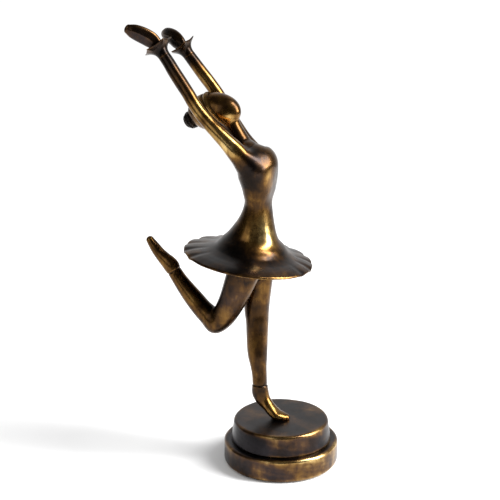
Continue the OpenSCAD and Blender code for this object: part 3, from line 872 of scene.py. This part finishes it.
class Graph:
    """Short names for adding and joining shader nodes."""

    def __init__(self, name):
        self.mat = bpy.data.materials.new(name)
        self.mat.use_nodes = True
        self.tree = self.mat.node_tree
        self.shader = self.tree.nodes["Principled BSDF"]

    def node(self, kind, **values):
        n = self.tree.nodes.new(kind)
        for key, value in values.items():
            setattr(n, key, value)
        return n

    def link(self, a, b):
        self.tree.links.new(a, b)

    def put(self, socket, value):
        if isinstance(value, (int, float, tuple)):
            socket.default_value = value
        else:
            self.link(value, socket)

    def attribute(self, name):
        return self.node("ShaderNodeAttribute", attribute_name=name).outputs["Fac"]

    def math(self, operation, a, b=0.0, c=0.0, clamp=False):
        n = self.node("ShaderNodeMath", operation=operation, use_clamp=clamp)
        for socket, value in zip(n.inputs, (a, b, c)):
            self.put(socket, value)
        return n.outputs[0]

    def place(self, scale=(1, 1, 1)):
        coord = self.node("ShaderNodeTexCoord").outputs["Object"]
        n = self.node("ShaderNodeMapping")
        self.link(coord, n.inputs["Vector"])
        n.inputs["Scale"].default_value = scale
        return n.outputs[0]

    def noise(self, vector, scale, detail=3.0, rough=0.55, distort=0.0):
        n = self.node("ShaderNodeTexNoise")
        self.link(vector, n.inputs["Vector"])
        n.inputs["Scale"].default_value = scale
        n.inputs["Detail"].default_value = detail
        n.inputs["Roughness"].default_value = rough
        n.inputs["Distortion"].default_value = distort
        return n.outputs["Fac"]

    def span(self, value, lo, hi, to_lo=0.0, to_hi=1.0):
        n = self.node("ShaderNodeMapRange", interpolation_type="SMOOTHSTEP")
        self.put(n.inputs["Value"], value)
        for key, v in (("From Min", lo), ("From Max", hi), ("To Min", to_lo), ("To Max", to_hi)):
            n.inputs[key].default_value = v
        return n.outputs[0]

    def ramp(self, value, stops):
        n = self.node("ShaderNodeValToRGB")
        self.link(value, n.inputs[0])
        n.color_ramp.interpolation = "LINEAR"
        for i, (at, colour) in enumerate(stops):
            stop = n.color_ramp.elements[i] if i < 2 else n.color_ramp.elements.new(at)
            stop.position = at
            stop.color = (*colour, 1)
        return n.outputs[0]

    def mix(self, share, a, b):
        n = self.node("ShaderNodeMix", data_type="RGBA")
        self.put(n.inputs[0], share)
        self.put(n.inputs[6], a)
        self.put(n.inputs[7], (*b, 1))
        return n.outputs[2]

    def bump(self, height, distance, strength):
        n = self.node("ShaderNodeBump")
        self.link(height, n.inputs["Height"])
        n.inputs["Distance"].default_value = distance
        n.inputs["Strength"].default_value = strength
        return n.outputs[0]


# The listed spots hold gold wear and dark patina, and also painted highlights and painted shade.
WEAR_AND_PAINTED_LIGHT_SHARE = 0.5          # how strongly the spots shift the bronze's tone


def bronze(name, level=0.38, edge=0.16, drawn=0.45, cool=0.0, rough=0.25, mottle=0.7, size=42):
    """Patinated bronze: near black, brown or gold, by relief, noise and the listed spots, which carry
    painted highlights and painted shade besides gold wear and dark patina.
    """
    g = Graph(name)
    plain = g.place()
    clouds = g.noise(plain, size, 3, 0.55, 0.4)
    patches = g.noise(plain, size * 2.7, 3, 0.6, 0.6)
    streaks = g.noise(g.place(scale=(1, 1, 0.2)), 200, 3, 0.6, 0.3)
    grain = g.noise(plain, 1300, 2, 0.6)
    total = g.math("MULTIPLY_ADD", g.math("SUBTRACT", clouds, 0.5), 1.2 * mottle, level)
    total = g.math("MULTIPLY_ADD", g.math("SUBTRACT", streaks, 0.5), drawn, total)
    total = g.math("MULTIPLY_ADD", g.math("SUBTRACT", patches, 0.5), 0.5 * mottle, total)
    total = g.math("MULTIPLY_ADD", g.attribute("proud"), edge, total)
    # Here the spots add gold wear and dark patina, and painted highlights and painted shade, to the tone.
    total = g.math("MULTIPLY_ADD", g.attribute("wear_patina_and_painted_light"), WEAR_AND_PAINTED_LIGHT_SHARE, total)
    total = g.math("MULTIPLY_ADD", g.math("SUBTRACT", grain, 0.5), 0.04, total, clamp=True)
    colour = g.ramp(total, [
        (0.0, (0.005, 0.005, 0.005)), (1.0, (0.72, 0.50, 0.20)), (0.25, (0.018, 0.011, 0.007)),
        (0.45, (0.062, 0.030, 0.010)), (0.62, (0.15, 0.076, 0.019)), (0.80, (0.34, 0.205, 0.064))])
    tint = g.span(g.noise(plain, 60, 3, 0.6, 0.5), 0.3, 0.7, 0.3, 1.0)
    film = g.math("MULTIPLY", tint, g.math("ADD", g.attribute("cool"), cool), clamp=True)
    colour = g.mix(film, colour, (0.052, 0.043, 0.050))
    g.link(colour, g.shader.inputs["Base Color"])
    g.shader.inputs["Metallic"].default_value = 1.0
    shine = g.span(total, 0.2, 0.9, rough + 0.06, rough - 0.04)
    shine = g.math("MULTIPLY_ADD", g.math("SUBTRACT", patches, 0.5), 0.18, shine)
    g.put(g.shader.inputs["Roughness"], g.math("MAXIMUM", shine, 0.14))
    g.shader.inputs["Coat Weight"].default_value = 0.06
    g.shader.inputs["Coat Roughness"].default_value = 0.12
    return g.mat


def felt_paint():
    g = Graph("felt_cloth")
    plain = g.place()
    fibres = g.noise(plain, 2600, 3, 0.7)
    clouds = g.noise(plain, 160, 3, 0.6)
    colour = g.ramp(g.math("MULTIPLY_ADD", clouds, 0.4, g.math("MULTIPLY", fibres, 0.6)),
                    [(0.3, (0.006, 0.012, 0.009)), (0.75, (0.020, 0.034, 0.026))])
    g.link(colour, g.shader.inputs["Base Color"])
    g.shader.inputs["Roughness"].default_value = 0.95
    g.shader.inputs["Sheen Weight"].default_value = 0.3
    g.link(g.bump(fibres, 0.0004, 0.8), g.shader.inputs["Normal"])
    return g.mat


def steel_paint():
    g = Graph("turned_steel")
    drawn = g.place(scale=(1, 1, 0.05))
    lines = g.noise(drawn, 2400, 3, 0.6)
    colour = g.ramp(lines, [(0.3, (0.42, 0.42, 0.41)), (0.7, (0.60, 0.60, 0.59))])
    g.link(colour, g.shader.inputs["Base Color"])
    g.shader.inputs["Metallic"].default_value = 1.0
    g.put(g.shader.inputs["Roughness"], g.span(lines, 0.2, 0.8, 0.28, 0.42))
    return g.mat


skin = bronze("bronze_figure")
bun_skin = bronze("bronze_bun", level=0.2, edge=0.12, rough=0.42)
base_skin = bronze("bronze_base", level=0.28, edge=0.42, drawn=0.3, cool=0.32, rough=0.3,
                   mottle=1.1, size=36)
felt_skin = felt_paint()
steel_skin = steel_paint()
FINISH = {"tutu": (skin, "dark_bronze"), "pelvis": (skin, "dark_bronze"),
          "hair_bun": (bun_skin, "dark_bronze"), "base_lower_step": (base_skin, "base_bronze"),
          "base_upper_step": (base_skin, "base_bronze"), "base_felt_pad": (felt_skin, "felt")}
for name, obj in pieces.items():
    look, slot_name = FINISH.get(name, (skin, "bronze"))
    obj.data.materials.clear()
    obj.data.materials.append(look)
for name, obj in nodes.items():
    if name not in pieces:
        obj.data.materials.clear()
        obj.data.materials.append(steel_skin)


# ---- Floor, light and camera -----------------------------------------------------------------

CAMERA_AT = Vector((0.5288, -1.1876, 0.6359))
TARGET = Vector((-0.02375, -0.01058, 0.18572))

floor_mesh = bpy.data.meshes.new("floor")
floor_mesh.from_pydata([(x, y, 0) for x, y in ((-0.9, -0.9), (0.7, -0.9), (0.7, 0.7), (-0.9, 0.7))], [],
                       [(0, 1, 2, 3)])
floor = bpy.data.objects.new("floor", floor_mesh)
scene.collection.objects.link(floor)
paper = bpy.data.materials.new("floor_paper")
paper.use_nodes = True
paper.node_tree.nodes["Principled BSDF"].inputs["Base Color"].default_value = (0.9, 0.9, 0.9, 1)
paper.node_tree.nodes["Principled BSDF"].inputs["Roughness"].default_value = 0.9
paper.node_tree.nodes["Principled BSDF"].inputs["Specular IOR Level"].default_value = 0.1
floor_mesh.materials.append(paper)


LIGHTS_AIM = Vector((-0.02, 0, 0.18))


def softbox(name, at, size, power):
    light = bpy.data.lights.new(name, "AREA")
    light.shape = "RECTANGLE"
    light.size, light.size_y = size
    light.energy = power
    obj = bpy.data.objects.new(name, light)
    obj.location = at
    obj.rotation_euler = (LIGHTS_AIM - Vector(at)).to_track_quat("-Z", "Y").to_euler()
    scene.collection.objects.link(obj)


softbox("key", (1.6, 0.42, 1.15), (0.7, 2.2), 120)
softbox("front_left", (-0.5, -1.7, 0.9), (1.2, 1.2), 6)

world = bpy.data.worlds.new("studio")
world.use_nodes = True
scene.world = world
world.cycles.sampling_method = "NONE"
tree = world.node_tree


def world_node(kind, *links, **values):
    n = tree.nodes.new(kind)
    for key, value in values.items():
        setattr(n, key, value)
    for socket, value in zip(n.inputs, links):
        if isinstance(value, bpy.types.NodeSocket):
            tree.links.new(value, socket)
        else:
            socket.default_value = value
    return n


BACKDROP_WAY = (-0.41, 0.91, 0.1)
# What the metal mirrors: a pale backdrop behind, a dim ceiling and a dark room on the camera's side.
way = world_node("ShaderNodeTexCoord").outputs["Generated"]
behind = world_node("ShaderNodeVectorMath", way, BACKDROP_WAY, operation="DOT_PRODUCT").outputs["Value"]
behind = world_node("ShaderNodeMapRange", behind, 0.2, 0.95, 0.0, 0.8,
                    interpolation_type="SMOOTHSTEP").outputs[0]
above = world_node("ShaderNodeSeparateXYZ", way).outputs["Z"]
above = world_node("ShaderNodeMapRange", above, 0.2, 1.0, 0.06, 0.12,
                   interpolation_type="SMOOTHSTEP").outputs[0]
mirrored = world_node("ShaderNodeMath", behind, above, operation="ADD").outputs[0]
path = world_node("ShaderNodeLightPath")
fill = world_node("ShaderNodeMapRange", path.outputs["Is Camera Ray"], 0.0, 1.0, 0.54, 1.05).outputs[0]
bright = world_node("ShaderNodeBackground", (1, 1, 1, 1), fill)
dim = world_node("ShaderNodeBackground", (1, 1, 1, 1), mirrored)
choose = world_node("ShaderNodeMixShader", path.outputs["Is Glossy Ray"], bright.outputs[0], dim.outputs[0])
tree.links.new(choose.outputs[0], tree.nodes["World Output"].inputs["Surface"])

eye = bpy.data.cameras.new("view")
eye.sensor_width = 36
eye.lens = 122.64
eye.clip_start, eye.clip_end = 0.05, 50
camera = bpy.data.objects.new("view", eye)
camera.location = CAMERA_AT
camera.rotation_euler = (TARGET - CAMERA_AT).to_track_quat("-Z", "Y").to_euler()
scene.collection.objects.link(camera)
scene.camera = camera
scene.view_settings.view_transform = "Standard"

bpy.context.view_layer.update()
